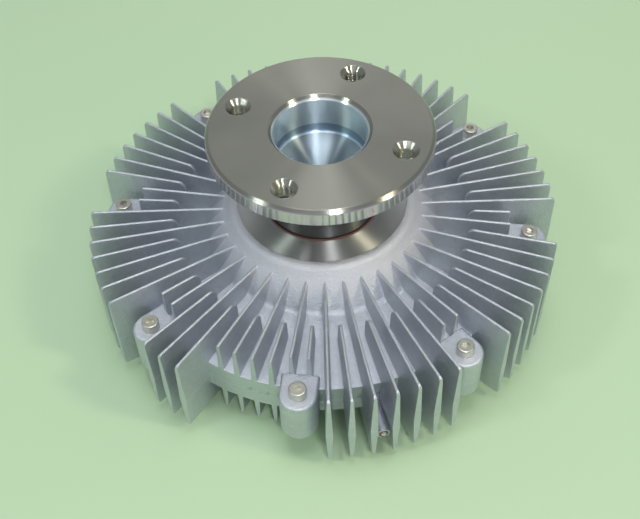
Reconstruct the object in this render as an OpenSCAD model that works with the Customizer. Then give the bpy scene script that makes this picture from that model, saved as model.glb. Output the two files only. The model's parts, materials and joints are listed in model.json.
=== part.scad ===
// Viscous fan clutch: a finned two-part casing that turns on a flanged drive shaft,
// with a grooved rotor, a fluid reservoir and a valve worked by a bimetal coil inside.
// The origin is on the spin axis, at the faces of the fan lugs. The drive flange is on top.

/* [Casing] */
// Radius of the fins' outer edges
fin_outer_r = 100; // [96:1:110]
// Number of fins around each casting
fin_count = 72; // [64, 72, 80]
// Height of the front cover's fins below the parting plane
cover_fin_h = 18.5; // [17:0.5:22]
// Height of the rear housing's fins above the parting plane
housing_fin_h = 23.2; // [21:0.1:26]
// Thickness of a fin at the parting plane
fin_root_t = 3; // [2.4:0.1:3.4]
// Thickness of a fin at its free edge
fin_tip_t = 1.3; // [0.8:0.1:2]
// Radius where the tops of the short fins begin
short_fin_r = 62.5; // [58:0.5:70]
// Rounding of the short fins' inner corners
short_fin_round = 4.5; // [2:0.5:6]
// Rounding of the fins' outer corners
fin_corner = 2.4; // [0.5:0.1:3]
// Distance of the round rim that both castings share inside the circle of the joining screws
rim_inset = 5; // [4:0.5:6]
// Thickness of the rim round the fluid chamber
rim_wall = 8; // [7:0.5:9]
// Height of the housing's rim above the parting plane
housing_rim_h = 8; // [7:0.5:9]
// Depth of the cover's rim below the parting plane
cover_rim_h = 6.8; // [6.5:0.1:7.5]
// Direction of the first fin cut short for balance
trim_start = 240; // [180:5:270]
// Number of fins cut short for balance
trim_count = 4; // [0:1:6]

/* [Housing hub] */
// Height of the machined hub face above the fins' tops
hub_rise = 4.5; // [3.5:0.1:6]
// Radius of the machined hub face
hub_face_r = 36; // [35:0.5:38]
// Height of the cast crown above the machined face
crown_step = 0.4; // [0.2:0.1:1]
// Rounding of the cast crown
crown_r = 5; // [4:0.5:6]
// Slope of the cone below the crown, from level
cone_angle = 49.3; // [45:0.1:55]
// Height of the cone's foot above the parting plane
cone_foot_h = 13.2; // [12:0.1:14.5]
// Fillet between the cone and the web
cone_fillet = 4; // [2:0.5:6]

/* [Drive shaft] */
// Radius of the drive flange
flange_r = 46; // [44:0.5:52]
// Thickness of the drive flange
flange_t = 7.5; // [6:0.5:10]
// Height of the flange's top above the machined hub face
flange_standoff = 39.8; // [30:0.1:50]
// Chamfer of the flange's upper edge
flange_chamfer = 1.4; // [0.5:0.1:2]
// Chamfer of the flange's lower edge
flange_lower_chamfer = 0.6; // [0.3:0.1:1]
// Pitch circle radius of the flange's tapped holes
flange_hole_pitch_r = 36; // [33:0.5:38]
// Radius of the flange's tapped holes
flange_hole_r = 3.4; // [2.5:0.05:4]
// Number of tapped holes in the flange
flange_hole_count = 4; // [3:1:6]
// Direction of the first tapped hole
flange_hole_angle = -23.4; // [-45:0.1:45]
// Width of the countersink round each tapped hole
flange_hole_sink = 1.9; // [0.5:0.1:2.5]
// Radius of the pilot bore
pilot_r = 19; // [17:0.5:20]
// Depth of the pilot bore
pilot_depth = 13; // [9:0.5:20]
// Width of the chamfer at the pilot bore's mouth
pilot_chamfer = 1.9; // [0.5:0.1:2.5]
// Radius of the flat floor of the pilot bore
pilot_floor_r = 14; // [12:0.5:16]
// Height of the cone round the pilot bore's floor
pilot_cone_h = 3; // [1:0.5:4]
// Radius of the neck below the flange
neck_r = 23.5; // [22.5:0.1:24]
// Fillet between the neck and the flange
neck_fillet = 3; // [1:0.5:5]

/* [Bearing] */
// Inner radius of the bearing
bearing_bore_r = 15; // [14:0.5:15.5]
// Outer radius of the bearing
bearing_outer_r = 31; // [30:0.5:32]
// Width of the bearing
bearing_w = 16; // [15:0.5:17]
// Outer radius of the inner ring
inner_land_r = 19.5; // [19:0.1:20]
// Inner radius of the outer ring
outer_land_r = 26.5; // [26:0.1:27]
// Radius of a ball
ball_r = 4.76; // [4.3:0.01:4.9]
// Number of balls
ball_count = 9; // [7:1:9]
// Gap between a ball and its tracks and pocket
ball_gap = 0.15; // [0.1:0.01:0.2]
// Thickness of a bearing seal
bearing_seal_t = 1; // [0.8:0.1:1.2]
// Depth of a bearing seal below the bearing's face
bearing_seal_inset = 0.6; // [0.4:0.1:0.8]
// Thickness of the housing's shoulder above the bearing
shoulder_t = 3.2; // [3:0.1:5]
// Thickness of the circlip below the bearing
bearing_clip_t = 2; // [1.5:0.1:2.2]

/* [Shaft seal] */
// Outer radius of the shaft seal
seal_outer_r = 25.4; // [25:0.1:26]
// Height of the shaft seal above the machined hub face
seal_stand = 2.5; // [1.5:0.1:4]

/* [Rotor and fluid chamber] */
// Thickness of the rotor's disc
rotor_t = 4.7; // [4:0.1:5]
// Radius of the rotor's hub
rotor_hub_r = 24; // [22.5:0.5:25]
// Distance of the outermost rotor land from the rotor's edge
land_edge = 3.4; // [2:0.1:4]
// Room between the housing's hub and the innermost rotor land
land_hub_room = 4; // [3:0.5:6]
// Distance from one rotor land to the next
land_pitch = 4; // [3.6:0.1:4.1]
// Width of a land
land_t = 1.6; // [1.2:0.1:1.6]
// Height of the chamber's ceiling above the parting plane
chamber_h = 5.5; // [5:0.1:6]
// Gap between the rotor and the chamber's wall
rotor_rim_gap = 1; // [0.6:0.1:1.5]
// Gap between the rotor's lands and the ceiling, and below its disc
rotor_gap = 0.6; // [0.4:0.1:0.8]
// Number of oil holes through the rotor
rotor_hole_count = 6; // [4:1:8]
// Radius of an oil hole through the rotor
rotor_hole_r = 3.5; // [2:0.5:4]

/* [Reservoir and valve] */
// Radius of the partition plate
plate_r = 62; // [60.5:0.5:63]
// Thickness of the partition plate
plate_t = 1.2; // [1:0.1:1.5]
// Depth of the reservoir below the partition plate
reservoir_depth = 4.1; // [4:0.1:5]
// Radius of the reservoir
reservoir_r = 56; // [54:0.5:57]
// Thickness of the cover's wall below the reservoir
cover_wall = 3.5; // [3:0.1:4]
// Radius of the valve port in the partition plate
valve_port_r = 3.5; // [2:0.5:4]
// Distance of the valve port from the axis
valve_port_pitch_r = 44; // [38:0.5:46]
// Thickness of the valve arm
valve_arm_t = 0.8; // [0.6:0.1:1]
// Width of the valve arm
valve_arm_w = 9; // [6:0.5:12]
// Radius of the valve shaft
valve_shaft_r = 4; // [3.5:0.1:4.5]
// Direction of the valve arm when the coil is cold
valve_angle = 20; // [10:1:30]

/* [Bimetal coil] */
// Thickness of the coil's strip
coil_strip_t = 0.9; // [0.6:0.1:1]
// Width of the coil's strip
coil_strip_w = 4.4; // [3.5:0.1:5]
// Distance from one turn of the coil to the next
coil_pitch = 2; // [1.6:0.1:2.2]
// Number of turns of the coil
coil_turns = 6; // [4:1:6]
// Length of the coil's straight outer tail
coil_tail = 4; // [3:0.5:5]

/* [Screws and lugs] */
// Number of screws that join the castings
screw_count = 8; // [8]
// Distance of the joining screws from the axis
screw_pitch_r = 89; // [88:0.5:90]
// Radius of a joining screw's thread
screw_r = 2; // [1.5:0.1:2.5]
// Radius of a joining screw's head
screw_head_r = 3.5; // [3:0.1:4]
// Height of a joining screw's head
screw_head_h = 4; // [3:0.1:5]
// Length of a joining screw below its head
screw_length = 20; // [18:0.5:20]
// Width across the flats of a joining screw's socket
screw_socket = 3; // [2.5:0.1:4]
// Radius of a screw boss
boss_r = 7.5; // [6.5:0.1:8]
// Height of the housing's screw bosses above the parting plane
boss_h = 12; // [10:0.5:14]
// How far the flat top of a screw boss runs in from its screw
boss_reach = 9; // [8:0.5:10]
// Rounding of a screw boss's edge
boss_round = 1.2; // [0.5:0.1:2]
// Distance of the fan lugs from the axis
lug_pitch_r = 60; // [59:0.5:61]
// Number of fan lugs
lug_count = 4; // [3:1:6]
// Radius of a fan lug
lug_r = 9; // [8:0.5:10]
// Radius of the tapped hole in a fan lug
lug_hole_r = 3.4; // [2.5:0.05:4]
// Depth of the tapped hole in a fan lug
lug_hole_depth = 14; // [12:0.5:14]
// Height of the fins' lower edges above the lugs' faces
lug_drop = 4; // [2:0.5:6]

/* [Filler] */
// Direction of the filler spout, in the middle of a gap between two fins
filler_angle = 282.5; // [277.5:5:302.5]
// Radius of the filler spout
filler_boss_r = 2.5; // [2:0.1:2.6]
// Radius of the ball that closes the filler spout
filler_ball_r = 1.6; // [1.2:0.1:1.8]

/* [Hidden] */
$fn = 96;
small_fn = 32;

// Clearances: a pressed joint, a turning joint and the overlap of a cutting tool
press_gap = 0.02;
run_gap = 0.06;
cut = 1;

// Heights of the casing, from the lugs' faces up
fin_bottom_z = lug_drop;
part_z = fin_bottom_z + cover_fin_h;
fin_top_z = part_z + housing_fin_h;
housing_rim_z = part_z + housing_rim_h;
cover_rim_z = part_z - cover_rim_h;
hub_face_z = fin_top_z + hub_rise;
flange_z = hub_face_z + flange_standoff;
flange_under_z = flange_z - flange_t;
pilot_floor_z = flange_z - pilot_depth;

// Fin spacing: the screws sit in the middle of a gap between two fins
fin_step = 360 / fin_count;
screw_step = 360 / screw_count;
first_screw = -1.5 * fin_step;

// Radii that follow the circle of the joining screws
rim_r = screw_pitch_r - rim_inset;
boss_start_r = screw_pitch_r - boss_reach;
chamber_r = rim_r - rim_wall;
rotor_r = chamber_r - rotor_rim_gap;

// Hub: the crown's arc runs into the cone, and the cone into the web
crown_lead = 0.2;
crown_z = hub_face_z + crown_step;
crown_c = [hub_face_r + crown_lead, crown_z - crown_r];
cone_out = [sin(cone_angle), cos(cone_angle)];
cone_down = [cos(cone_angle), -sin(cone_angle)];
cone_top = crown_c + crown_r * cone_out;
cone_foot_z = part_z + cone_foot_h;
cone_foot = cone_top + cone_down * (cone_top[1] - cone_foot_z) / sin(cone_angle);
web_along = ([rim_r, housing_rim_z] - cone_foot) / norm([rim_r, housing_rim_z] - cone_foot);
fillet_half = acos(-cone_down * web_along) / 2;
fillet_reach = cone_fillet / tan(fillet_half);
fillet_middle = (web_along - cone_down) / norm(web_along - cone_down);
fillet_c = cone_foot + fillet_middle * cone_fillet / sin(fillet_half);

// Bearing and what it carries
bearing_top_z = hub_face_z - shoulder_t;
bearing_bottom_z = bearing_top_z - bearing_w;
bearing_mid_z = bearing_top_z - bearing_w / 2;
ball_pitch_r = (inner_land_r + outer_land_r) / 2;
track_r = ball_r + ball_gap;
cage_half_t = 1.1;
cage_web = 0.9;
cage_half_h = track_r + cage_web;
seal_lap = 0.4;
clip_slot_gap = 0.2;
clip_reach = 1.6;
clip_lip = 1.8;
clip_lap = 1;
clip_ear_r = 2.4;
clip_ear_hole_r = 1;
clip_ear_angle = 8;
hub_bottom_z = bearing_bottom_z - bearing_clip_t - clip_slot_gap - clip_lip;
hub_wall = 6;
neck_lift = 1;
neck_foot_z = bearing_top_z + neck_lift;
shaft_step = 0.8;
shaft_shoulder_r = inner_land_r - shaft_step;
seal_bottom_z = bearing_top_z + bearing_seal_inset;

// Rotor and its chamber
chamber_z = part_z + chamber_h;
land_top_z = chamber_z - rotor_gap;
land_gap = (land_pitch - 2 * land_t) / 2;
land_limit_r = rotor_r - land_edge;
land_room = land_limit_r - (bearing_outer_r + hub_wall + land_hub_room);
land_count = 1 + floor((land_room - land_t) / land_pitch);
first_land_r = land_limit_r - land_t - (land_count - 1) * land_pitch;
rotor_lift = 1.5;
rotor_top_z = part_z + rotor_lift;
rotor_bottom_z = rotor_top_z - rotor_t;
housing_land_z = rotor_top_z + rotor_gap;
rotor_spigot_step = 0.5;
rotor_spigot_r = inner_land_r - rotor_spigot_step;
rotor_spigot_h = 1;
rotor_hole_pitch_r = (rotor_hub_r + first_land_r) / 2;
rotor_clip_t = 1.5;
rotor_clip_depth = 1.3;
rotor_clip_reach = 3;
rotor_clip_room = 0.8;
rotor_clip_play = 0.4;
rotor_clip_gap_w = 12;
rotor_seat_z = rotor_bottom_z + rotor_clip_room + rotor_clip_t;
shaft_end_lift = 0.3;
shaft_end_z = rotor_bottom_z + shaft_end_lift;
shaft_end_chamfer = 1;

// Reservoir, valve and coil
chamber_floor_z = rotor_bottom_z - rotor_gap;
plate_drop = 0.5;
plate_top_z = rotor_bottom_z - plate_drop;
plate_bottom_z = plate_top_z - plate_t;
plate_gap = 0.2;
reservoir_z = plate_bottom_z - reservoir_depth;
skin_z = reservoir_z - cover_wall;
bulge_inset = 1;
bulge_r = plate_r - bulge_inset;
bulge_slope = 4;
arm_gap = 0.4;
arm_top_z = plate_bottom_z - arm_gap;
arm_bottom_z = arm_top_z - valve_arm_t;
valve_collar_t = 0.7;
valve_collar_w = 1.5;
valve_collar_gap = 0.2;
valve_boss_wall = 3;
valve_boss_r = valve_shaft_r + valve_boss_wall;
valve_boss_top_z = arm_bottom_z - valve_collar_t - valve_collar_gap;
valve_boss_drop = 3.5;
valve_boss_bottom_z = skin_z - valve_boss_drop;
valve_pin_step = 1;
valve_pin_r = valve_shaft_r - valve_pin_step;
valve_pin_stand = 0.1;
valve_pad_w = 2.5;
ring_section_r = 0.75;
ring_groove_gap = 0.2;
ring_groove_z = (skin_z + reservoir_z) / 2;
coil_gap = 0.3;
coil_top_z = valve_boss_bottom_z - coil_gap;
coil_bottom_z = coil_top_z - coil_strip_w;
coil_lead = 1;
coil_inner_r = valve_shaft_r + coil_lead;
coil_outer_r = coil_inner_r + coil_pitch * coil_turns;
coil_slot_play = 0.4;
coil_slot = coil_strip_t + coil_slot_play;
coil_steps = 24;
bracket_t = 1.2;
bracket_w = 16;
bracket_post_w = 8;
bracket_post_t = 2.5;
bracket_gap = 1;
bracket_r = coil_outer_r + coil_strip_t / 2 + bracket_gap;
bracket_length = 15;
bracket_screw_r = 1.5;
bracket_screw_head_r = 2.7;
bracket_screw_head_h = 2;
bracket_screw_depth = 2.6;
bracket_screw_side = 4.5;
bracket_screw_reach = 10;
bracket_screw_pitch_r = bracket_r + bracket_screw_reach;

// Seal ring between the castings
ring_r = 1;
ring_slot_w = 2.6;
ring_pitch_r = (chamber_r + rim_r) / 2;

// How far the fins sink into the rim and into the web
fin_sink_r = (ring_pitch_r + ring_slot_w / 2 + rim_r) / 2;
fin_sink_z = 1;

// Share of a corner's rounding by which its arc is set in, so that it meets the flat edges at an angle
corner_ease = 0.96;

// Screws
boss_z = part_z + boss_h;
cover_boss_z = part_z - cover_fin_h / 2;
screw_tip_z = boss_z - screw_length;
screw_tip_room = 0.5;
screw_hole_z = screw_tip_z - screw_tip_room;
screw_play = 0.25;
screw_head_edge = 0.6;
plate_screw_count = 4;
plate_screw_r = 1.25;
plate_screw_head_r = 2.3;
plate_screw_depth = 4;
plate_screw_pitch_r = (reservoir_r + plate_r) / 2;
filler_drop = 6.5;
filler_z = part_z - filler_drop;
filler_inset = 2;
filler_end_r = fin_outer_r - filler_inset;
filler_hole_depth = 7;
lug_angle = 45;
lug_top_z = cover_rim_z;

// Smallest angle between a direction and the nearest screw
function screw_offset(a) =
    let (turn = (a - first_screw + 360) % screw_step) min(turn, screw_step - turn);

// Whether a fin is one of the group that is cut short for balance
function is_trimmed(a) = a >= trim_start - 0.1 && a < trim_start + (trim_count - 0.5) * fin_step;

// Radius where a fin ends: short of a screw boss, at the rim where trimmed, or in full
function fin_reach(a) =
    screw_offset(a) < 0.75 * fin_step ? boss_start_r : is_trimmed(a) ? rim_r : fin_outer_r;

// Points of the coil's strip, on one side of its middle line
function coil_side(side) = [
    for (i = [0 : coil_turns * coil_steps])
        let (a = i * 360 / coil_steps, r = coil_inner_r + coil_pitch * i / coil_steps)
            (r + side * coil_strip_t / 2) * [cos(a), sin(a)]
];

// A point list in reverse
function reversed(list) = [for (i = [len(list) - 1 : -1 : 0]) list[i]];

// A copy of the child at equal turns about the axis
module around(count, first = 0) {
    for (i = [0 : count - 1]) {
        rotate([0, 0, first + i * 360 / count]) children();
    }
}

// A round bar, or a hole to be cut, between two heights
module bar(r, from_z, to_z) {
    translate([0, 0, from_z]) cylinder(r = r, h = to_z - from_z);
}

// A flat ring between two heights
module ring(inner_r, outer_r, from_z, to_z) {
    rotate_extrude() translate([inner_r, from_z]) square([outer_r - inner_r, to_z - from_z]);
}

// One radial fin, thickest at the parting plane and drafted to its round free edge
module fin(from_r, to_r, tip_z) {
    tip_r = fin_tip_t / 2;
    round_z = tip_z - sign(tip_z - part_z) * tip_r;
    translate([from_r, 0, 0]) rotate([90, 0, 90]) linear_extrude(height = to_r - from_r) {
        polygon([
            [-fin_root_t / 2, part_z],
            [fin_root_t / 2, part_z],
            [corner_ease * tip_r, round_z],
            [-corner_ease * tip_r, round_z]
        ]);
        translate([0, round_z]) circle(r = tip_r, $fn = small_fn);
    }
}

// Every second fin of a casting, from the first or the second one on
module fin_set(first, from_r, tip_z) {
    for (i = [first : 2 : fin_count - 1]) {
        rotate([0, 0, i * fin_step]) fin(from_r, fin_reach(i * fin_step), tip_z);
    }
}

// What rounds an outer corner away: side is 1 above the fins and -1 below them
module outer_corner_cut(corner_r, corner_z, r, side) {
    inset = corner_ease * r;
    rotate_extrude() difference() {
        translate([corner_r - inset, side > 0 ? corner_z - inset : corner_z - cut]) square(inset + cut);
        translate([corner_r - inset, corner_z - side * inset]) circle(r = r, $fn = small_fn);
    }
}

// What rounds the short fins' inner corners away
module inner_corner_cut(corner_r, corner_z, r) {
    inset = corner_ease * r;
    rotate_extrude() difference() {
        translate([corner_r - cut, corner_z - inset]) square(inset + cut);
        translate([corner_r + inset, corner_z - inset]) circle(r = r, $fn = small_fn);
    }
}

// Section across a screw boss, with rounded edges at its free end
module boss_section(height) {
    translate([-boss_r, 0]) square([2 * boss_r, height - boss_round]);
    translate([-boss_r + boss_round, 0]) square([2 * (boss_r - boss_round), height]);
    for (side = [-1, 1]) {
        translate([side * (boss_r - boss_round), height - boss_round])
            circle(r = boss_round, $fn = small_fn);
    }
}

// A tongue-shaped screw boss that stands on the parting plane and reaches in to the rim
module screw_boss(height, from_r) {
    translate([screw_pitch_r, 0, 0]) rotate_extrude() intersection() {
        boss_section(height);
        square([boss_r, height]);
    }
    translate([from_r, 0, 0]) rotate([90, 0, 90])
        linear_extrude(height = screw_pitch_r - from_r) boss_section(height);
}

module drive_shaft() {
    color("darkseagreen") difference() {
        rotate_extrude() difference() {
            polygon([
                [0, shaft_end_z],
                [bearing_bore_r - shaft_end_chamfer, shaft_end_z],
                [bearing_bore_r, shaft_end_z + shaft_end_chamfer],
                [bearing_bore_r, bearing_top_z],
                [shaft_shoulder_r, bearing_top_z],
                [shaft_shoulder_r, neck_foot_z],
                [neck_r, neck_foot_z],
                [neck_r, flange_under_z - neck_fillet],
                [neck_r + neck_fillet, flange_under_z - neck_fillet],
                [neck_r + neck_fillet, flange_under_z],
                [flange_r - flange_lower_chamfer, flange_under_z],
                [flange_r, flange_under_z + flange_lower_chamfer],
                [flange_r, flange_z - flange_chamfer],
                [flange_r - flange_chamfer, flange_z],
                [0, flange_z]
            ]);
            translate([neck_r + neck_fillet, flange_under_z - neck_fillet]) circle(r = neck_fillet);
        }
        rotate_extrude() polygon([
            [0, pilot_floor_z],
            [pilot_floor_r, pilot_floor_z],
            [pilot_r, pilot_floor_z + pilot_cone_h],
            [pilot_r, flange_z - pilot_chamfer],
            [pilot_r + pilot_chamfer, flange_z],
            [pilot_r + pilot_chamfer, flange_z + cut],
            [0, flange_z + cut]
        ]);
        around(flange_hole_count, flange_hole_angle) translate([flange_hole_pitch_r, 0, 0]) {
            bar(flange_hole_r, flange_under_z - cut, flange_z + cut);
            translate([0, 0, flange_z - flange_hole_sink])
                cylinder(r1 = flange_hole_r, r2 = flange_hole_r + flange_hole_sink, h = flange_hole_sink);
            bar(flange_hole_r + flange_hole_sink, flange_z, flange_z + cut);
        }
        ring(
            bearing_bore_r - rotor_clip_depth, bearing_bore_r + cut,
            rotor_seat_z - rotor_clip_t - press_gap, rotor_seat_z
        );
    }
}

module shaft_seal() {
    color("saddlebrown") ring(neck_r + run_gap, seal_outer_r, seal_bottom_z, hub_face_z + seal_stand);
}

// Outer form of the housing, without its fins
module housing_outline() {
    difference() {
        polygon([
            [0, part_z],
            [rim_r, part_z],
            [rim_r, housing_rim_z],
            cone_foot + web_along * fillet_reach,
            fillet_c,
            cone_foot - cone_down * fillet_reach,
            cone_top,
            crown_c,
            [0, crown_c[1]]
        ]);
        translate(fillet_c) circle(r = cone_fillet);
    }
    translate([0, crown_c[1] - cut]) square([hub_face_r, hub_face_z - crown_c[1] + cut]);
    intersection() {
        translate(crown_c) circle(r = crown_r);
        translate([hub_face_r, crown_c[1] - crown_r]) square(3 * crown_r);
    }
}

// Space inside the housing: the rotor's chamber, the bearing's seat and the seal's mouth
module housing_hollow() {
    rotate_extrude() polygon([
        [0, part_z - cut],
        [chamber_r, part_z - cut],
        [chamber_r, chamber_z],
        [bearing_outer_r + hub_wall, chamber_z],
        [bearing_outer_r + hub_wall, hub_bottom_z],
        [bearing_outer_r + press_gap, hub_bottom_z],
        [bearing_outer_r + press_gap, bearing_top_z],
        [seal_outer_r + press_gap, bearing_top_z],
        [seal_outer_r + press_gap, hub_face_z + cut],
        [0, hub_face_z + cut]
    ]);
    ring(
        bearing_outer_r - cut, bearing_outer_r + clip_reach + clip_slot_gap,
        bearing_bottom_z - bearing_clip_t - clip_slot_gap, bearing_bottom_z
    );
}

// The housing's body and bosses, with its lands, bores and screw holes
module housing_core() {
    difference() {
        union() {
            rotate_extrude() housing_outline();
            around(screw_count, first_screw) translate([0, 0, part_z]) screw_boss(boss_h, boss_start_r);
        }
        housing_hollow();
        around(screw_count, first_screw) translate([screw_pitch_r, 0, 0])
            bar(screw_r + screw_play, part_z - cut, boss_z + cut);
    }
    for (i = [0 : land_count - 2]) {
        inner_r = first_land_r + i * land_pitch + land_t + land_gap;
        ring(inner_r, inner_r + land_t, housing_land_z, chamber_z + cut);
    }
}

// The housing's fins, which end inside its web and its rim
module housing_fins() {
    difference() {
        union() {
            fin_set(0, crown_c[0] + crown_r / 2, fin_top_z);
            difference() {
                fin_set(1, short_fin_r, fin_top_z);
                inner_corner_cut(short_fin_r, fin_top_z, short_fin_round);
            }
        }
        outer_corner_cut(fin_outer_r, fin_top_z, fin_corner, 1);
        bar(fin_sink_r, part_z - cut, chamber_z + fin_sink_z);
    }
}

module rear_housing() {
    color("silver") {
        housing_core();
        housing_fins();
    }
}

module bearing_outer_ring() {
    color("lightsteelblue") difference() {
        ring(outer_land_r, bearing_outer_r, bearing_bottom_z, bearing_top_z);
        rotate_extrude() translate([ball_pitch_r, bearing_mid_z]) circle(r = track_r);
    }
}

module bearing_inner_ring() {
    color("lightsteelblue") difference() {
        ring(bearing_bore_r + press_gap, inner_land_r, bearing_bottom_z, bearing_top_z);
        rotate_extrude() translate([ball_pitch_r, bearing_mid_z]) circle(r = track_r);
    }
}

module bearing_balls() {
    color("gainsboro") around(ball_count) translate([ball_pitch_r, 0, bearing_mid_z]) sphere(r = ball_r);
}

module bearing_cage() {
    color("goldenrod") difference() {
        ring(
            ball_pitch_r - cage_half_t, ball_pitch_r + cage_half_t,
            bearing_mid_z - cage_half_h, bearing_mid_z + cage_half_h
        );
        around(ball_count) translate([ball_pitch_r, 0, bearing_mid_z]) sphere(r = track_r);
    }
}

// One seal of the bearing, held by the outer ring
module bearing_seal(from_z) {
    ring(inner_land_r + seal_lap, outer_land_r - press_gap, from_z, from_z + bearing_seal_t);
}

module bearing_seal_upper() {
    color("dimgray") bearing_seal(bearing_top_z - bearing_seal_inset - bearing_seal_t);
}

module bearing_seal_lower() {
    color("dimgray") bearing_seal(bearing_bottom_z + bearing_seal_inset);
}

module bearing_circlip() {
    inner_r = outer_land_r + clip_lap;
    outer_r = bearing_outer_r + clip_reach;
    color("slategray") translate([0, 0, bearing_bottom_z - bearing_clip_t])
        linear_extrude(height = bearing_clip_t - press_gap) difference() {
            circle(r = outer_r);
            difference() {
                circle(r = inner_r);
                for (side = [-1, 1]) {
                    rotate(side * clip_ear_angle) translate([inner_r, 0]) circle(r = clip_ear_r);
                }
            }
            for (side = [-1, 1]) {
                rotate(side * clip_ear_angle) translate([inner_r, 0])
                    circle(r = clip_ear_hole_r, $fn = small_fn);
            }
            translate([0, -clip_ear_r / 2]) square([outer_r + cut, clip_ear_r]);
        }
}

module rotor() {
    color("lightgray") difference() {
        union() {
            rotate_extrude() polygon([
                [0, rotor_bottom_z],
                [rotor_r, rotor_bottom_z],
                [rotor_r, rotor_top_z],
                [rotor_hub_r, rotor_top_z],
                [rotor_hub_r, bearing_bottom_z - rotor_spigot_h],
                [rotor_spigot_r, bearing_bottom_z - rotor_spigot_h],
                [rotor_spigot_r, bearing_bottom_z],
                [0, bearing_bottom_z]
            ]);
            for (i = [0 : land_count - 1]) {
                inner_r = first_land_r + i * land_pitch;
                ring(inner_r, inner_r + land_t, rotor_top_z - cut, land_top_z);
            }
        }
        bar(bearing_bore_r + press_gap, rotor_bottom_z - cut, bearing_bottom_z + cut);
        bar(bearing_bore_r + rotor_clip_reach + press_gap, rotor_bottom_z - cut, rotor_seat_z);
        around(rotor_hole_count) translate([rotor_hole_pitch_r, 0, 0])
            bar(rotor_hole_r, rotor_bottom_z - cut, rotor_top_z + cut);
    }
}

module rotor_circlip() {
    color("slategray") difference() {
        ring(
            bearing_bore_r - rotor_clip_depth + press_gap,
            bearing_bore_r + rotor_clip_reach - rotor_clip_play,
            rotor_seat_z - rotor_clip_t,
            rotor_seat_z - press_gap
        );
        translate([0, -rotor_clip_gap_w / 2, rotor_seat_z - rotor_clip_t - cut])
            cube([bearing_bore_r + 2 * rotor_clip_reach, rotor_clip_gap_w, rotor_clip_t + 2 * cut]);
    }
}

module body_o_ring() {
    color("black") rotate_extrude()
        translate([ring_pitch_r, part_z - ring_r - press_gap]) circle(r = ring_r, $fn = small_fn);
}

// Outer form of the cover, without its fins and lugs
module cover_outline() {
    polygon([
        [0, part_z],
        [rim_r, part_z],
        [rim_r, cover_rim_z],
        [bulge_r + bulge_slope, cover_rim_z],
        [bulge_r, skin_z],
        [0, skin_z]
    ]);
}

// Space inside the cover: below the rotor, the partition plate's seat and the reservoir
module cover_hollow() {
    rotate_extrude() polygon([
        [0, reservoir_z],
        [reservoir_r, reservoir_z],
        [reservoir_r, plate_bottom_z],
        [plate_r + plate_gap, plate_bottom_z],
        [plate_r + plate_gap, chamber_floor_z],
        [chamber_r, chamber_floor_z],
        [chamber_r, part_z + cut],
        [0, part_z + cut]
    ]);
    translate([0, 0, part_z - 2 * ring_r - 2 * press_gap]) rotate_extrude()
        translate([ring_pitch_r - ring_slot_w / 2, 0]) square([ring_slot_w, 2 * ring_r + cut]);
}

// The cover's body, bosses and lugs, with its hollow, bores and screw holes
module cover_core() {
    difference() {
        union() {
            difference() {
                union() {
                    rotate_extrude() cover_outline();
                    around(screw_count, first_screw) translate([0, 0, part_z]) mirror([0, 0, 1])
                        screw_boss(part_z - cover_boss_z, fin_sink_r);
                    around(lug_count, lug_angle) translate([lug_pitch_r, 0, 0]) bar(lug_r, 0, lug_top_z);
                    rotate([0, 0, filler_angle]) translate([fin_sink_r, 0, filler_z]) rotate([0, 90, 0])
                        cylinder(r = filler_boss_r, h = filler_end_r - fin_sink_r);
                }
                cover_hollow();
            }
            bar(valve_boss_r, valve_boss_bottom_z, valve_boss_top_z);
        }
        rotate([0, 0, filler_angle]) translate([filler_end_r - filler_hole_depth, 0, filler_z])
            rotate([0, 90, 0]) cylinder(r = filler_ball_r + press_gap, h = filler_hole_depth + cut);
        bar(valve_shaft_r + run_gap, valve_boss_bottom_z - cut, valve_boss_top_z + cut);
        around(screw_count, first_screw) translate([screw_pitch_r, 0, 0])
            bar(screw_r + press_gap, screw_hole_z, part_z + cut);
        around(lug_count, lug_angle) translate([lug_pitch_r, 0, 0]) bar(lug_hole_r, -cut, lug_hole_depth);
        around(plate_screw_count) translate([plate_screw_pitch_r, 0, 0])
            bar(
                plate_screw_r + press_gap,
                plate_bottom_z - plate_screw_depth - screw_tip_room, plate_bottom_z + cut
            );
        for (side = [-1, 1]) {
            translate([bracket_screw_pitch_r, side * bracket_screw_side, 0])
                bar(bracket_screw_r + press_gap, skin_z - cut, skin_z + bracket_screw_depth + coil_gap);
        }
    }
}

// The cover's fins, which end inside its floor and its rim
module cover_fins() {
    difference() {
        for (first = [0, 1]) {
            fin_set(first, bulge_r + bulge_slope, fin_bottom_z);
        }
        outer_corner_cut(fin_outer_r, fin_bottom_z, fin_corner, -1);
        bar(fin_sink_r, chamber_floor_z - fin_sink_z, part_z + cut);
    }
}

module front_cover() {
    color("silver") {
        cover_core();
        cover_fins();
    }
}

module filler_ball() {
    color("gainsboro") rotate([0, 0, filler_angle])
        translate([filler_end_r - filler_ball_r / 2, 0, filler_z]) sphere(r = filler_ball_r);
}

// A hexagon-socket screw with its head's edge rounded
module cover_screw() {
    edge = screw_head_edge;
    difference() {
        union() {
            bar(screw_r, screw_tip_z, boss_z + edge);
            bar(screw_head_r, boss_z, boss_z + screw_head_h - edge);
            bar(screw_head_r - edge, boss_z, boss_z + screw_head_h);
            translate([0, 0, boss_z + screw_head_h - edge]) rotate_extrude()
                intersection() {
                    translate([screw_head_r - edge, 0]) circle(r = edge, $fn = small_fn);
                    square(screw_head_r);
                }
        }
        translate([0, 0, boss_z + screw_head_h / 2])
            cylinder(r = screw_socket / sqrt(3), h = screw_head_h, $fn = 6);
    }
}

module cover_screws() {
    color("gray") around(screw_count, first_screw) translate([screw_pitch_r, 0, 0]) cover_screw();
}

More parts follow.
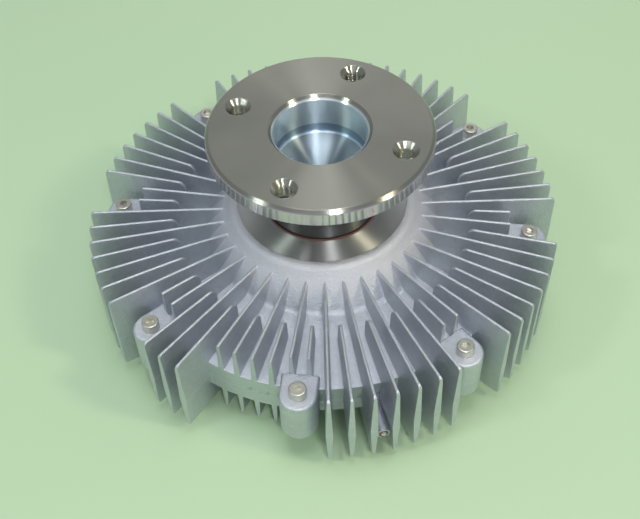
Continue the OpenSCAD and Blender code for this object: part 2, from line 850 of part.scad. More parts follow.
module partition_plate() {
    color("lightslategray") difference() {
        bar(plate_r, plate_bottom_z, plate_top_z);
        rotate([0, 0, valve_angle]) translate([valve_port_pitch_r, 0, 0])
            bar(valve_port_r, plate_bottom_z - cut, plate_top_z + cut);
        around(plate_screw_count) translate([plate_screw_pitch_r, 0, plate_bottom_z]) {
            bar(plate_screw_r + press_gap, -cut, plate_t);
            cylinder(r1 = plate_screw_r + press_gap, r2 = plate_screw_head_r + press_gap, h = plate_t);
            bar(plate_screw_head_r + press_gap, plate_t, plate_t + cut);
        }
    }
}

module plate_screws() {
    color("gray") around(plate_screw_count) translate([plate_screw_pitch_r, 0, 0]) {
        bar(plate_screw_r, plate_bottom_z - plate_screw_depth, plate_top_z);
        translate([0, 0, plate_bottom_z]) cylinder(r1 = plate_screw_r, r2 = plate_screw_head_r, h = plate_t);
    }
}

module valve_arm() {
    pad_r = valve_port_r + valve_pad_w;
    color("lightslategray") rotate([0, 0, valve_angle]) translate([0, 0, arm_bottom_z])
        linear_extrude(height = valve_arm_t) difference() {
            union() {
                circle(r = valve_boss_r);
                translate([0, -valve_arm_w / 2]) square([valve_port_pitch_r, valve_arm_w]);
                translate([valve_port_pitch_r, 0]) circle(r = pad_r);
            }
            circle(r = valve_pin_r + press_gap);
        }
}

module valve_shaft() {
    color("lightgray") difference() {
        union() {
            bar(valve_shaft_r, coil_bottom_z - coil_gap, arm_bottom_z);
            bar(valve_shaft_r + valve_collar_w, arm_bottom_z - valve_collar_t, arm_bottom_z);
            bar(valve_pin_r, arm_bottom_z, arm_top_z + valve_pin_stand);
        }
        translate([-2 * valve_shaft_r, -coil_slot / 2, coil_bottom_z - coil_gap - cut])
            cube([4 * valve_shaft_r, coil_slot, coil_strip_w + coil_gap + cut + coil_slot_play / 2]);
        ring(
            valve_shaft_r - 2 * ring_section_r, valve_shaft_r + cut,
            ring_groove_z - ring_section_r - ring_groove_gap, ring_groove_z + ring_section_r + ring_groove_gap
        );
    }
}

module valve_o_ring() {
    color("black") rotate_extrude()
        translate([valve_shaft_r - ring_section_r + press_gap, ring_groove_z])
            circle(r = ring_section_r, $fn = small_fn);
}

module bimetal_coil() {
    color("peru") translate([0, 0, coil_bottom_z]) linear_extrude(height = coil_strip_w) {
        polygon(concat(coil_side(1), reversed(coil_side(-1))));
        translate([coil_lead, -coil_strip_t / 2])
            square([coil_inner_r - coil_lead + coil_strip_t / 2, coil_strip_t]);
        translate([coil_outer_r - coil_strip_t / 2, -coil_strip_t / 2]) square([coil_tail, coil_strip_t]);
    }
}

module coil_bracket() {
    color("darkgray") difference() {
        union() {
            translate([bracket_r, -bracket_post_w / 2, coil_bottom_z])
                cube([bracket_post_t, bracket_post_w, skin_z - coil_bottom_z]);
            translate([bracket_r, -bracket_w / 2, skin_z - bracket_t])
                cube([bracket_length, bracket_w, bracket_t]);
        }
        translate([bracket_r - cut, -coil_slot / 2, coil_bottom_z - cut])
            cube([bracket_post_t + 2 * cut, coil_slot, coil_strip_w + cut + coil_gap]);
        for (side = [-1, 1]) {
            translate([bracket_screw_pitch_r, side * bracket_screw_side, 0])
                bar(bracket_screw_r + press_gap, skin_z - bracket_t - cut, skin_z + cut);
        }
    }
}

module bracket_screws() {
    color("gray") for (side = [-1, 1]) {
        translate([bracket_screw_pitch_r, side * bracket_screw_side, 0]) {
            bar(bracket_screw_r, skin_z - bracket_t, skin_z + bracket_screw_depth);
            bar(
                bracket_screw_head_r,
                skin_z - bracket_t - bracket_screw_head_h, skin_z - bracket_t
            );
        }
    }
}

drive_shaft();
shaft_seal();
rear_housing();
bearing_outer_ring();
bearing_inner_ring();
bearing_balls();
bearing_cage();
bearing_seal_upper();
bearing_seal_lower();
bearing_circlip();
rotor();
rotor_circlip();
body_o_ring();
front_cover();
cover_screws();
partition_plate();
plate_screws();
valve_arm();
valve_shaft();
valve_o_ring();
bimetal_coil();
coil_bracket();
bracket_screws();
filler_ball();
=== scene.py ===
import json
import math

import bmesh
import bpy
from mathutils import Matrix, Vector


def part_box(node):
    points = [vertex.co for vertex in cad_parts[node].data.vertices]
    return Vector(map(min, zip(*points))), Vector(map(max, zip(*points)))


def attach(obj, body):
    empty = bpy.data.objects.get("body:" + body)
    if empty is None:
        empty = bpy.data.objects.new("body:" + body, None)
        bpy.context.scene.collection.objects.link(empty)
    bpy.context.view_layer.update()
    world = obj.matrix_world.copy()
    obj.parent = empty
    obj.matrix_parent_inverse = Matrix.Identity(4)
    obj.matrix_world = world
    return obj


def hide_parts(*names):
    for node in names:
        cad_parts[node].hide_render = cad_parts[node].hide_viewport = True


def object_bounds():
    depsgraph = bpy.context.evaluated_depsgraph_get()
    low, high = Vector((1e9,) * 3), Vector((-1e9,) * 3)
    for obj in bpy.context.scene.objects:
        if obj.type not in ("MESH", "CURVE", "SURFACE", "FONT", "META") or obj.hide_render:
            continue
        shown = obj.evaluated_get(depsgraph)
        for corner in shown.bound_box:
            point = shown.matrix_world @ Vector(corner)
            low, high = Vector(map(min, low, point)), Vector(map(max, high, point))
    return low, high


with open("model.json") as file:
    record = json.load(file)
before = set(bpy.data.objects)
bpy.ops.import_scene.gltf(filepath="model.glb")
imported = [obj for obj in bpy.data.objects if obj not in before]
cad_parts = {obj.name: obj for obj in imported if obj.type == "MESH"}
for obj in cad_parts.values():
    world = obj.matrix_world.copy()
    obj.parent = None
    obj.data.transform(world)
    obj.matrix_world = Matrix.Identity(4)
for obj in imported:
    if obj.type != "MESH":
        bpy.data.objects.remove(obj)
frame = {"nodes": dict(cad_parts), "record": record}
cad_low, cad_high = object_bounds()

MM = 0.001

# The camera, set round the middle of the drive flange's face: angles in degrees, lens in millimetres
CAMERA_ELEVATION = 42.10
CAMERA_DISTANCE = 397.19 * MM
CAMERA_PAN = 0.2407
CAMERA_TILT = -7.536
CAMERA_ROLL = 1.7685
CAMERA_LENS = 55.90

# Heights, radii and angles of the clutch that its finishes and pieces follow, in millimetres and degrees
FLANGE_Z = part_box("drive_shaft")[1].z / MM
FLANGE_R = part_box("drive_shaft")[1].x / MM
FLANGE_T = 7.5
FLANGE_HOLE_ANGLE = -23.4
SINK_DEPTH = 1.9
NECK_R = 23.5
HUB_FACE_DROP = 39.8
HUB_FACE_Z = FLANGE_Z - HUB_FACE_DROP
HUB_FACE_R = 36
CROWN_R = 46
LUG_HOLE_DEPTH = 14
LUG_ANGLE = 45
FILLER_ANGLE = 282.5

# The pilot bore: a wall a little wider than the solid's, then a relief groove, then a conical floor
PILOT_MOUTH_R = 20.9
PILOT_R = 19
PILOT_STEP = 0.15
PILOT_STEP_Z = 80.4
PILOT_FLOOR_Z = 59.7
RELIEF_TOP_Z = 75.7
RELIEF_Z = 71.1
RELIEF_DEPTH = 0.5

# Distances at which the shaft's points count as one, before and after its bore is cut
BLANK_MERGE = 0.001
BORED_MERGE = 0.002

# The shaft seal: its room round the neck, how far its lip and its shell stand out, and the lip's edge
SEAL_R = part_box("shaft_seal")[1].x / MM
SEAL_GAP = 0.05
SEAL_STAND = 0.6
SHELL_STAND = 0.05
LIP_R = 24.6
LIP_CHAMFER = 0.2

# The bimetal coil: its strip, the bends at both ends, and the angles between which its two pieces run
COIL_T = 0.9
COIL_LEAD = 1
COIL_BEND = 0.7
COIL_BEND_STEPS = 6
COIL_HEART_R = 5
COIL_HEART_START = 11
COIL_HEART_END = 330
COIL_HEART_STEPS = 64
COIL_LAP = 0.05
COIL_START = 240
COIL_END = 2157.6
COIL_STEPS = 320
COIL_OUTER_R = 17

# The threads in the tapped holes, and how far they stop short of the holes' ends
THREAD_PITCH = 1.25
THREAD_DEPTH = 0.3
THREAD_GAP = 0.02
THREAD_SLOPE = 1.25
FLANGE_THREAD_END = 0.2
LUG_THREAD_MOUTH = 0.6
LUG_THREAD_END = 2

# The bead of sealant: its radius, and the number, size and start of each of its waves
BEAD_R = 0.3
BEAD_WAVES = ((3, 0.2, 0), (7, 0.12, 1))

# Steps round a turned piece, and the angles past which an edge is sharp
TURNED_STEPS = 160
TURNED_SHARP = math.radians(25)
STRIP_SHARP = math.radians(40)

# A quarter turn, which spreads a turned surface's shine across its tool marks
ACROSS = 0.25

# The room: half the floor's width in metres, and the sky's colours
FLOOR_REACH = 4.0
HORIZON = (0.31, 0.32, 0.335, 1)
ZENITH = (0.38, 0.40, 0.43, 1)

# The lamps: direction from the flange, distance and size in metres, power in watts, colour
LAMPS = {
    "broad_lamp": ((0.0, 0.0, 1.0), 1.5, 0.7, 7, (0.98, 0.99, 1.0)),
    "back_lamp": ((0.08, 0.90, 0.42), 1.5, 0.9, 1.2, (1.0, 0.98, 0.92)),
    "left_lamp": ((-0.66, -0.31, 0.68), 1.3, 0.16, 2.0, (0.86, 1.0, 0.92)),
    "middle_lamp": ((0.15, -0.66, 0.735), 1.3, 0.16, 3.6, (0.97, 0.99, 1.0)),
    "right_lamp": ((0.68, -0.28, 0.68), 1.3, 0.16, 3.6, (1.0, 0.92, 0.66)),
}

MOUNTS = {mount["name"]: mount for mount in frame["record"]["mounts"]}


def srgb(red, green, blue):
    """A colour as a screen shows it, from 0 to 255, turned into the linear one that a shader takes."""
    def linear(level):
        share = level / 255
        return share / 12.92 if share <= 0.04045 else ((share + 0.055) / 1.055) ** 2.4
    return (linear(red), linear(green), linear(blue), 1.0)


class Value:
    """One output of a finish's nodes. Sums and products on it add Math nodes."""

    def __init__(self, finish, socket):
        self.finish = finish
        self.socket = socket

    def maths(self, operation, *values):
        return self.finish.node("Math", {"operation": operation}, dict(enumerate(values)))

    def other(self, name):
        """Another output of the same node."""
        return Value(self.finish, self.socket.node.outputs[name])

    def __add__(self, value):
        return self.maths("ADD", self, value)

    def __radd__(self, value):
        return self.maths("ADD", value, self)

    def __sub__(self, value):
        return self.maths("SUBTRACT", self, value)

    def __rsub__(self, value):
        return self.maths("SUBTRACT", value, self)

    def __mul__(self, value):
        return self.maths("MULTIPLY", self, value)

    def __rmul__(self, value):
        return self.maths("MULTIPLY", value, self)

    def __pow__(self, value):
        return self.maths("POWER", self, value)


class Finish:
    """The nodes of a material or of the world."""

    def __init__(self, owner):
        owner.use_nodes = True
        self.owner = owner
        self.tree = owner.node_tree
        self.tree.nodes.clear()

    def node(self, kind, settings=None, inputs=None, output=0):
        """A new node: its settings are set first, then the values or links of its sockets."""
        made = self.tree.nodes.new("ShaderNode" + kind)
        for name, setting in (settings or {}).items():
            setattr(made, name, setting)
        for key, value in (inputs or {}).items():
            if isinstance(value, Value):
                self.tree.links.new(value.socket, made.inputs[key])
            else:
                made.inputs[key].default_value = value
        return Value(self, made.outputs[output]) if made.outputs else made

    def point(self):
        """A point on the part in millimetres."""
        metres = self.node("TexCoord", output="Object")
        return self.node("VectorMath", {"operation": "SCALE"}, {0: metres, "Scale": 1 / MM})

    def place(self):
        """A point on the part in millimetres, with its height and its distance from the axis."""
        point = self.point()
        x = self.node("SeparateXYZ", inputs={0: point})
        y, z = x.other("Y"), x.other("Z")
        return point, z, (x * x + y * y) ** 0.5

    def vector(self, x, y, z):
        return self.node("CombineXYZ", inputs={0: x, 1: y, 2: z})

    def noise(self, point, size, detail, roughness=0.5):
        """Noise from 0 to 1 with spots of about the given size, in the point's own units."""
        sockets = {"Vector": point, "Scale": 1 / size, "Detail": detail, "Roughness": roughness}
        return self.node("TexNoise", inputs=sockets)

    def step(self, value, low, high):
        """A smooth step from 0 at low to 1 at high."""
        sockets = {"Value": value, "From Min": low, "From Max": high}
        return self.node("MapRange", {"interpolation_type": "SMOOTHSTEP"}, sockets)

    def mix(self, factor, first, second):
        """A colour between two others."""
        return self.node("Mix", {"data_type": "RGBA"}, {0: factor, 6: first, 7: second}, output=2)

    def bump(self, height, depth, strength, normal=None):
        """A bumped normal, from a height of 0 to 1 that stands for the given depth in millimetres."""
        sockets = {"Height": height, "Distance": depth * MM, "Strength": strength}
        if normal is not None:
            sockets["Normal"] = normal
        return self.node("Bump", inputs=sockets)

    def soft_edges(self, radius):
        """The normal of a surface whose edges are broken by the given radius in millimetres."""
        return self.node("Bevel", {"samples": 6}, {"Radius": radius * MM})

    def surface(self, **sockets):
        """A principled shader, its sockets named in lower case with underscores."""
        named = {key.replace("_", " ").title(): value for key, value in sockets.items()}
        return self.node("BsdfPrincipled", inputs=named)

    def blend(self, factor, first, second):
        """A mix of two shaders."""
        return self.node("MixShader", inputs={0: factor, 1: first, 2: second})

    def edge_share(self, edges, low=0.03, high=0.3):
        """How far a point lies on a broken edge, from 0 on a flat face to 1 on the edge."""
        facing = self.node("NewGeometry", output="Normal")
        along = self.node("VectorMath", {"operation": "DOT_PRODUCT"}, {0: edges, 1: facing}, output="Value")
        return self.step(1 - along, low, high)

    def done(self, shader, output="OutputMaterial"):
        self.node(output, inputs={"Surface": shader})
        return self.owner


def finish_called(name):
    return Finish(bpy.data.materials.new(name))


def cast_aluminium():
    """Die-cast skin of both castings, with edges painted brighter, partly as wear and partly as painted
    highlight, and the turned face of the hub.
    """
    finish = finish_called("cast_aluminium")
    point, z, r = finish.place()
    cloud = finish.noise(point, 14, 4)
    spots = finish.noise(point, 2.4, 3)
    grain = finish.noise(point, 0.7, 3, 0.7)
    edges = finish.soft_edges(0.5)
    worn_and_highlit_edge = finish.edge_share(edges)
    hub = 1 - finish.step(r, CROWN_R - 4, CROWN_R + 6)
    skin = finish.mix(cloud * 0.35 + spots * 0.25 + grain * 0.4, srgb(166, 172, 182), srgb(236, 240, 246))
    skin = finish.mix(hub, skin, srgb(226, 227, 235))
    # Painted highlight: broken edges are painted lighter and less rough, partly as wear and partly as a
    # highlight that makes the fins' edges read bright.
    skin = finish.mix(worn_and_highlit_edge, skin, srgb(232, 235, 240))
    cast = finish.surface(
        base_color=skin, metallic=0.84, roughness=0.36 + 0.14 * spots + 0.12 * hub - 0.10 * worn_and_highlit_edge,
        normal=finish.bump(grain * 0.7 + spots * 0.3, 0.45, 0.9, edges)
    )
    rings = finish.noise(finish.vector(r, 0, 0), 0.35, 2)
    turned = finish.surface(
        base_color=finish.mix(rings, srgb(232, 232, 232), srgb(246, 246, 244)), metallic=1.0,
        roughness=0.36 + 0.05 * rings, anisotropic=1.0, anisotropic_rotation=ACROSS,
        normal=finish.bump(rings, 0.003, 0.3)
    )
    on_face = 1 - finish.step(r, HUB_FACE_R - 0.1, HUB_FACE_R + 0.1)
    face = on_face * finish.step(z, HUB_FACE_Z - 0.3, HUB_FACE_Z - 0.1)
    return finish.done(finish.blend(face, cast, turned))


def plated_steel():
    """Turned drive shaft: bare on the flange, with painted shade darkening the neck under the flange and a
    painted reflection on the rim, and bluer in the bore from its zinc plating, where the wall is painted near
    white as painted light.
    """
    finish = finish_called("plated_steel")
    point, z, r = finish.place()
    rings = finish.noise(finish.vector(r, z, 0), 0.3, 3, 0.6)
    cloud = finish.noise(point, 18, 3)
    bare = finish.mix(cloud, srgb(160, 160, 150), srgb(174, 174, 163))
    # Painted reflection: the rim is painted lighter and violet, partly as the plating's own tint and partly
    # so that its green floor reflection comes out grey-white.
    rim = finish.step(r, FLANGE_R - 0.5, FLANGE_R - 0.2)
    bare = finish.mix(rim, bare, srgb(216, 206, 216))
    # Painted shade: the neck under the flange is painted darker grey, standing in for the flange's shadow.
    below = 1 - finish.step(z, FLANGE_Z - FLANGE_T - 1.5, FLANGE_Z - FLANGE_T - 0.5)
    neck = below * finish.step(r, NECK_R - 0.6, NECK_R - 0.3)
    bare = finish.mix(neck, bare, srgb(112, 113, 112))
    in_bore = 1 - finish.step(r, PILOT_MOUTH_R - 1.6, PILOT_MOUTH_R - 0.9)
    in_bore = in_bore * finish.step(z, PILOT_FLOOR_Z - 1, PILOT_FLOOR_Z)
    on_wall = finish.step(z, RELIEF_Z - 0.4, RELIEF_Z)
    relief = on_wall * (1 - finish.step(z, RELIEF_TOP_Z - 0.3, RELIEF_TOP_Z))
    # Painted light: the bore's wall is painted near white to stand in for light that the deep bore doesn't
    # get. The bluish tint is the plating's own, and the conical floor below the relief is darker grey.
    plating_and_painted_light = finish.mix(on_wall, srgb(138, 151, 160), srgb(240, 250, 253))
    plating_and_painted_light = finish.mix(relief, plating_and_painted_light, srgb(196, 218, 236))
    steel = finish.surface(
        base_color=finish.mix(in_bore, bare, plating_and_painted_light), metallic=1.0,
        roughness=0.23 + 0.06 * rings - 0.13 * rim + 0.20 * neck + 0.06 * in_bore, anisotropic=0.95,
        anisotropic_rotation=ACROSS, normal=finish.bump(rings, 0.003, 0.4, finish.soft_edges(0.25))
    )
    return finish.done(steel)


def plain_metal(name, dark, light, roughness, anisotropic=0.0):
    """Turned, ground or rolled metal of one colour, with faint spots."""
    finish = finish_called(name)
    point = finish.point()
    cloud = finish.noise(point, 3, 4)
    grain = finish.noise(point, 0.3, 2)
    metal = finish.surface(
        base_color=finish.mix(cloud, dark, light), metallic=1.0, roughness=roughness + 0.12 * grain,
        anisotropic=anisotropic, anisotropic_rotation=ACROSS,
        normal=finish.bump(grain, 0.02, 0.4, finish.soft_edges(0.15))
    )
    return finish.done(metal)


def rubber(name, dark, light):
    """Moulded rubber with a fine matte grain."""
    finish = finish_called(name)
    point = finish.point()
    cloud = finish.noise(point, 4, 4)
    grain = finish.noise(point, 0.25, 2)
    skin = finish.surface(
        base_color=finish.mix(cloud, dark, light), roughness=0.5 + 0.2 * grain,
        normal=finish.bump(grain, 0.03, 0.5)
    )
    return finish.done(skin)


def seal_rubber():
    """The shaft seal's dark rubber with a red-brown edge, in a bright pressed shell."""
    finish = finish_called("seal_rubber")
    point, _, r = finish.place()
    cloud = finish.noise(point, 3, 4)
    grain = finish.noise(point, 0.3, 2)
    edge = finish.step(r + 0.2 * cloud, LIP_R - 0.45, LIP_R - 0.3)
    dark = finish.mix(cloud, srgb(34, 32, 31), srgb(54, 51, 49))
    skin = finish.surface(
        base_color=finish.mix(edge, dark, srgb(108, 66, 58)), roughness=0.42 + 0.2 * grain,
        normal=finish.bump(grain, 0.03, 0.5, finish.soft_edges(0.2))
    )
    shell = finish.surface(
        base_color=finish.mix(cloud, srgb(226, 226, 224), srgb(240, 240, 238)), metallic=1.0,
        roughness=0.32 + 0.05 * grain, anisotropic=1.0, anisotropic_rotation=ACROSS
    )
    within = 1 - finish.step(r, SEAL_R + 0.5, SEAL_R + 1)
    on_shell = within * finish.step(r, LIP_R + 0.02, LIP_R + 0.08)
    return finish.done(finish.blend(on_shell, skin, shell))


FINISHES = {
    "plated_steel": plated_steel(),
    "cast_aluminium": cast_aluminium(),
    "turned_aluminium": plain_metal("turned_aluminium", srgb(205, 207, 210), srgb(225, 227, 228), 0.25, 0.6),
    "bearing_steel": plain_metal("bearing_steel", srgb(200, 203, 206), srgb(222, 224, 226), 0.14, 0.4),
    "cage_brass": plain_metal("cage_brass", srgb(184, 148, 74), srgb(206, 172, 96), 0.3),
    "spring_steel": plain_metal("spring_steel", srgb(66, 68, 74), srgb(92, 94, 98), 0.35),
    "screw_steel": plain_metal("screw_steel", srgb(196, 194, 182), srgb(220, 218, 208), 0.26),
    "sheet_steel": plain_metal("sheet_steel", srgb(178, 182, 186), srgb(204, 206, 208), 0.3),
    "ring_rubber": rubber("ring_rubber", srgb(24, 24, 25), srgb(44, 44, 46)),
    "seal_rubber": seal_rubber(),
    "bimetal": plain_metal("bimetal", srgb(176, 136, 92), srgb(202, 166, 122), 0.32),
}

for subpart in frame["record"]["subparts"]:
    node = frame["nodes"][subpart["node"]]
    for slot in node.material_slots:
        slot.material = FINISHES[subpart["material_slot"]]


def floor_finish():
    """A plain sheet with a very faint cloud in it."""
    finish = finish_called("floor")
    point = finish.point()
    cloud = finish.noise(point, 400, 2)
    sheet = finish.surface(
        base_color=finish.mix(cloud, srgb(186, 214, 176), srgb(194, 219, 182)), roughness=0.4
    )
    return finish.done(sheet)


def lay_floor():
    """A plain pale floor under the fan lugs' faces."""
    mesh = bpy.data.meshes.new("floor")
    corners = [(x * FLOOR_REACH, y * FLOOR_REACH, 0) for x, y in ((-1, -1), (1, -1), (1, 1), (-1, 1))]
    mesh.from_pydata(corners, [], [(0, 1, 2, 3)])
    mesh.materials.append(floor_finish())
    floor = bpy.data.objects.new("floor", mesh)
    floor.location.z = cad_low.z
    bpy.context.scene.collection.objects.link(floor)


def hang_lamp(name, direction, distance, size, power, colour):
    """A square soft lamp that faces the drive flange."""
    data = bpy.data.lights.new(name, "AREA")
    data.size = size
    data.energy = power
    data.color = colour
    lamp = bpy.data.objects.new(name, data)
    toward = Vector(direction).normalized()
    lamp.location = Vector((0, 0, FLANGE_Z * MM)) + toward * distance
    lamp.rotation_euler = toward.to_track_quat("Z", "Y").to_euler()
    bpy.context.scene.collection.objects.link(lamp)


def light_room():
    """A soft sky, a broad lamp above, a weak one behind and three small ones in front."""
    world = bpy.data.worlds.new("studio")
    bpy.context.scene.world = world
    sky = Finish(world)
    height = sky.node("SeparateXYZ", inputs={0: sky.node("TexCoord", output="Generated")}).other("Z")
    overhead = sky.node("MapRange", inputs={"Value": height, "From Min": 0.0, "From Max": 1.0})
    light = sky.mix(overhead, HORIZON, ZENITH)
    sky.done(sky.node("Background", inputs={"Color": light}), "OutputWorld")
    for name, values in LAMPS.items():
        hang_lamp(name, *values)


def aim_camera():
    """Looks past the flange at the angle that the photograph has."""
    target = Vector((0, 0, FLANGE_Z * MM))
    elevation = math.radians(CAMERA_ELEVATION)
    offset = Vector((0, -math.cos(elevation), math.sin(elevation))) * CAMERA_DISTANCE
    forward = -offset.normalized()
    right = Vector((1, 0, 0))
    up = right.cross(forward)
    turn = Matrix.Rotation(math.radians(CAMERA_PAN), 3, up)
    forward, right = turn @ forward, turn @ right
    turn = Matrix.Rotation(math.radians(CAMERA_TILT), 3, right)
    forward, up = turn @ forward, turn @ up
    turn = Matrix.Rotation(math.radians(CAMERA_ROLL), 3, forward)
    right, up = turn @ right, turn @ up
    data = bpy.data.cameras.new("camera")
    data.lens = CAMERA_LENS
    camera = bpy.data.objects.new("camera", data)
    axes = Matrix((right, up, -forward)).transposed().to_4x4()
    camera.matrix_world = Matrix.Translation(target + offset) @ axes
    bpy.context.scene.collection.objects.link(camera)
    bpy.context.scene.camera = camera


def thread_skin(centres, hole_r, low_z, high_z):
    """Points and faces of a threaded sleeve in each hole, closed at both ends."""
    turn_steps, pitch_steps = 40, 8
    rows = round((high_z - low_z) / THREAD_PITCH * pitch_steps)
    points, faces = [], []
    for centre_x, centre_y in centres:
        first = len(points)
        for row in range(rows + 1):
            z = low_z + (high_z - low_z) * row / rows
            for step in range(turn_steps):
                turn = step / turn_steps
                phase = (z / THREAD_PITCH - turn) % 1
                ridge = max(0.0, 1 - abs(2 * phase - 1) * THREAD_SLOPE)
                for r in (hole_r - THREAD_GAP, hole_r - 2 * THREAD_GAP - THREAD_DEPTH * ridge):
                    angle = 2 * math.pi * turn
                    points.append((centre_x + r * math.cos(angle), centre_y + r * math.sin(angle), z))
        ring = 2 * turn_steps

        def at(row, step, inner):
            return first + row * ring + 2 * (step % turn_steps) + inner

        for step in range(turn_steps):
            after = step + 1
            for row in range(rows):
                above = row + 1
                faces.append((at(row, step, 0), at(row, after, 0), at(above, after, 0), at(above, step, 0)))
                faces.append((at(row, step, 1), at(above, step, 1), at(above, after, 1), at(row, after, 1)))
            faces.append((at(0, step, 0), at(0, step, 1), at(0, after, 1), at(0, after, 0)))
            faces.append((at(rows, step, 0), at(rows, after, 0), at(rows, after, 1), at(rows, step, 1)))
    return points, faces


def add_piece(name, points, faces, slot, body):
    """A mesh piece, given in millimetres, with its record's finish on one body of the clutch."""
    mesh = bpy.data.meshes.new(name)
    mesh.from_pydata([Vector(point) * MM for point in points], [], faces)
    mesh.materials.append(FINISHES[slot])
    mesh.shade_smooth()
    piece = bpy.data.objects.new(name, mesh)
    bpy.context.scene.collection.objects.link(piece)
    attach(piece, body)
    return piece


def hole_centres(mount_name, first_angle):
    """Where the holes of a bolt pattern lie, in millimetres."""
    dims = MOUNTS[mount_name]["dims"]
    angles = [math.radians(first_angle + 360 * i / dims["count"]) for i in range(dims["count"])]
    return [(dims["pcd_mm"] / 2 * math.cos(a), dims["pcd_mm"] / 2 * math.sin(a)) for a in angles]


def cut_threads():
    """Threads in the flange's and the fan lugs' tapped holes."""
    points, faces = thread_skin(
        hole_centres("flange_bolts", FLANGE_HOLE_ANGLE), MOUNTS["flange_bolts"]["dims"]["hole_r_mm"],
        FLANGE_Z - FLANGE_T + FLANGE_THREAD_END, FLANGE_Z - SINK_DEPTH
    )
    add_piece("flange_threads", points, faces, "plated_steel", "input")
    points, faces = thread_skin(
        hole_centres("fan_bolts", LUG_ANGLE), MOUNTS["fan_bolts"]["dims"]["hole_r_mm"],
        LUG_THREAD_MOUTH, LUG_HOLE_DEPTH - LUG_THREAD_END
    )
    add_piece("lug_threads", points, faces, "cast_aluminium", "casing")


def sealant_bead():
    """A lumpy ring of sealant round the ball that closes the filler spout."""
    low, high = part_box("filler_ball")
    centre = (low + high) / 2 / MM
    out = Vector((math.cos(math.radians(FILLER_ANGLE)), math.sin(math.radians(FILLER_ANGLE)), 0))
    side = Vector((-out.y, out.x, 0))
    up = Vector((0, 0, 1))
    ball_r = (high.z - low.z) / 2 / MM
    around, across = 48, 12
    points, faces = [], []
    for i in range(around):
        a = 2 * math.pi * i / around
        spoke = side * math.cos(a) + up * math.sin(a)
        thick = BEAD_R * (1 + sum(size * math.sin(count * a + start) for count, size, start in BEAD_WAVES))
        for j in range(across):
            b = 2 * math.pi * j / across
            lift, spread = ball_r / 2 + thick * math.sin(b), ball_r + thick * math.cos(b)
            points.append(centre + out * lift + spoke * spread)
            here, ahead = i * across, (i + 1) % around * across
            after = (j + 1) % across
            faces.append((here + j, ahead + j, ahead + after, here + after))
    add_piece("sealant_bead", points, faces, "seal_rubber", "casing")


def turned(profile, closed=False):
    """Points and faces of a solid turned about the axis: its half section ends on the axis or is closed."""
    around = TURNED_STEPS
    points, faces, rings = [], [], []
    for r, z in profile:
        count = around if r > 0 else 1
        rings.append((len(points), count))
        for i in range(count):
            a = 2 * math.pi * i / around
            points.append((r * math.cos(a), r * math.sin(a), z))
    following = rings[1:] + rings[:1] if closed else rings[1:]
    for (low, low_count), (high, high_count) in zip(rings, following):
        for i in range(around):
            after = (i + 1) % around
            corners = [low + i % low_count, low + after % low_count]
            corners += [high + after % high_count, high + i % high_count]
            faces.append(list(dict.fromkeys(corners)))
    return points, faces


def on_circle(centre_x, centre_y, r, start, end, steps):
    """Points on an arc, from one angle to another in degrees."""
    angles = [math.radians(start + (end - start) * i / steps) for i in range(steps + 1)]
    return [(centre_x + r * math.cos(a), centre_y + r * math.sin(a)) for a in angles]


def strip(path, low_z, high_z):
    """Points and faces of the coil's strip, on edge along a flat path."""
    points, faces = [], []
    for i, (x, y) in enumerate(path):
        before, after = path[max(i - 1, 0)], path[min(i + 1, len(path) - 1)]
        ahead = Vector((after[0] - before[0], after[1] - before[1])).normalized() * COIL_T / 2
        for side, z in ((1, low_z), (1, high_z), (-1, high_z), (-1, low_z)):
            points.append((x - side * ahead.y, y + side * ahead.x, z))
    for i in range(len(path) - 1):
        for j in range(4):
            after = (j + 1) % 4
            faces.append((4 * i + j, 4 * i + after, 4 * i + 4 + after, 4 * i + 4 + j))
    last = 4 * len(path) - 4
    faces += [(3, 2, 1, 0), (last, last + 1, last + 2, last + 3)]
    return points, faces


def wind_coil():
    """The bimetal coil in two pieces: a heart that turns with the valve, and a winding that laps round it."""
    low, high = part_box("bimetal_coil")
    low_z, high_z = low.z / MM, high.z / MM
    bend, bend_steps = COIL_BEND, COIL_BEND_STEPS
    heart = [(COIL_LEAD, 0)] + on_circle(COIL_HEART_R - bend, bend, bend, -90, 0, bend_steps)
    heart += on_circle(0, 0, COIL_HEART_R, COIL_HEART_START, COIL_HEART_END, COIL_HEART_STEPS)
    first_r = COIL_HEART_R + COIL_T + COIL_LAP
    winding = []
    for i in range(COIL_STEPS + 1):
        a = math.radians(COIL_START + (COIL_END - COIL_START) * i / COIL_STEPS)
        r = first_r + (COIL_OUTER_R - first_r) * i / COIL_STEPS
        winding.append((r * math.cos(a), r * math.sin(a)))
    winding += on_circle(COIL_OUTER_R + bend, -bend, bend, 180, 90, bend_steps)[1:]
    winding.append((high.x / MM, 0))
    for name, path, body in (("coil_heart", heart, "valve"), ("coil_winding", winding, "casing")):
        points, faces = strip(path, low_z, high_z)
        piece = add_piece(name, points, faces, "bimetal", body)
        piece.data.set_sharp_from_angle(angle=STRIP_SHARP)
    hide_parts("bimetal_coil")


def seat_seal():
    """The shaft seal again, nearly flush with the hub's face, with its lip inside a pressed shell."""
    low_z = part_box("shaft_seal")[0].z / MM
    lip_z, shell_z = HUB_FACE_Z + SEAL_STAND, HUB_FACE_Z + SHELL_STAND
    profile = [
        (NECK_R + SEAL_GAP, low_z), (SEAL_R, low_z), (SEAL_R, shell_z), (LIP_R, shell_z),
        (LIP_R, lip_z - LIP_CHAMFER), (LIP_R - LIP_CHAMFER, lip_z), (NECK_R + SEAL_GAP, lip_z)
    ]
    points, faces = turned(profile, closed=True)
    seal = add_piece("lip_seal", points, faces, "seal_rubber", "casing")
    seal.data.set_sharp_from_angle(angle=TURNED_SHARP)
    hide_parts("shaft_seal")


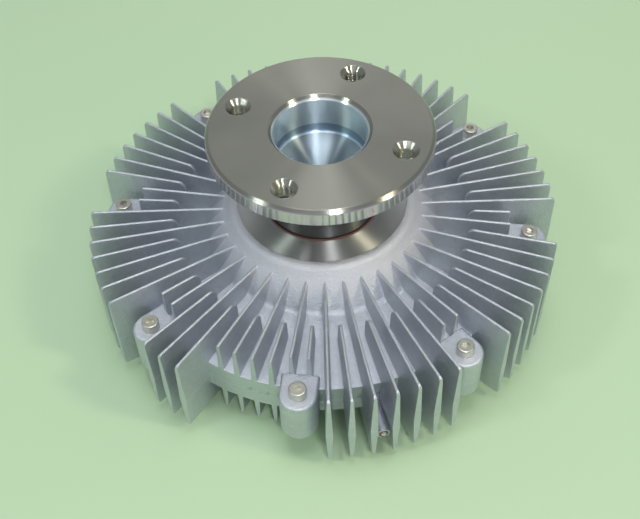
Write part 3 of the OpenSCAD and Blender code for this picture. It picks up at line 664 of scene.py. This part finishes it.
def merged(mesh, distance):
    """An editable copy of a mesh, with points nearer than a distance in millimetres joined."""
    work = bmesh.new()
    work.from_mesh(mesh)
    bmesh.ops.remove_doubles(work, verts=work.verts, dist=distance * MM)
    return work


def deepen_bore():
    """The drive shaft again, with its pilot bore run on to a relief and a conical floor."""
    profile = [
        (0, PILOT_FLOOR_Z), (PILOT_R, RELIEF_Z), (PILOT_R + RELIEF_DEPTH, RELIEF_Z),
        (PILOT_R + RELIEF_DEPTH, RELIEF_TOP_Z - RELIEF_DEPTH), (PILOT_R + PILOT_STEP, RELIEF_TOP_Z),
        (PILOT_R + PILOT_STEP, PILOT_STEP_Z), (0, PILOT_STEP_Z)
    ]
    points, faces = turned(profile)
    drill_mesh = bpy.data.meshes.new("drill")
    drill_mesh.from_pydata([Vector(point) * MM for point in points], [], faces)
    drill = bpy.data.objects.new("drill", drill_mesh)
    work = merged(frame["nodes"]["drive_shaft"].data, BLANK_MERGE)
    work.verts.index_update()
    blank = bpy.data.meshes.new("blank")
    blank.from_pydata(
        [vert.co for vert in work.verts], [], [[vert.index for vert in face.verts] for face in work.faces]
    )
    work.free()
    shaft = bpy.data.objects.new("turned_shaft", blank)
    for piece in (drill, shaft):
        bpy.context.scene.collection.objects.link(piece)
    cut = shaft.modifiers.new("bore", "BOOLEAN")
    cut.operation = "DIFFERENCE"
    cut.solver = "EXACT"
    cut.object = drill
    bored = bpy.data.meshes.new_from_object(shaft.evaluated_get(bpy.context.evaluated_depsgraph_get()))
    shaft.modifiers.clear()
    shaft.data = bored
    bpy.data.objects.remove(drill)
    work = merged(bored, BORED_MERGE)
    bmesh.ops.dissolve_degenerate(work, edges=work.edges, dist=BORED_MERGE * MM)
    work.to_mesh(bored)
    work.free()
    bored.materials.clear()
    bored.materials.append(FINISHES["plated_steel"])
    bored.shade_smooth()
    bored.set_sharp_from_angle(angle=TURNED_SHARP)
    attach(shaft, "input")
    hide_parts("drive_shaft")


deepen_bore()
seat_seal()
wind_coil()
cut_threads()
sealant_bead()
lay_floor()
light_room()
aim_camera()
bpy.context.scene.view_settings.view_transform = "Standard"
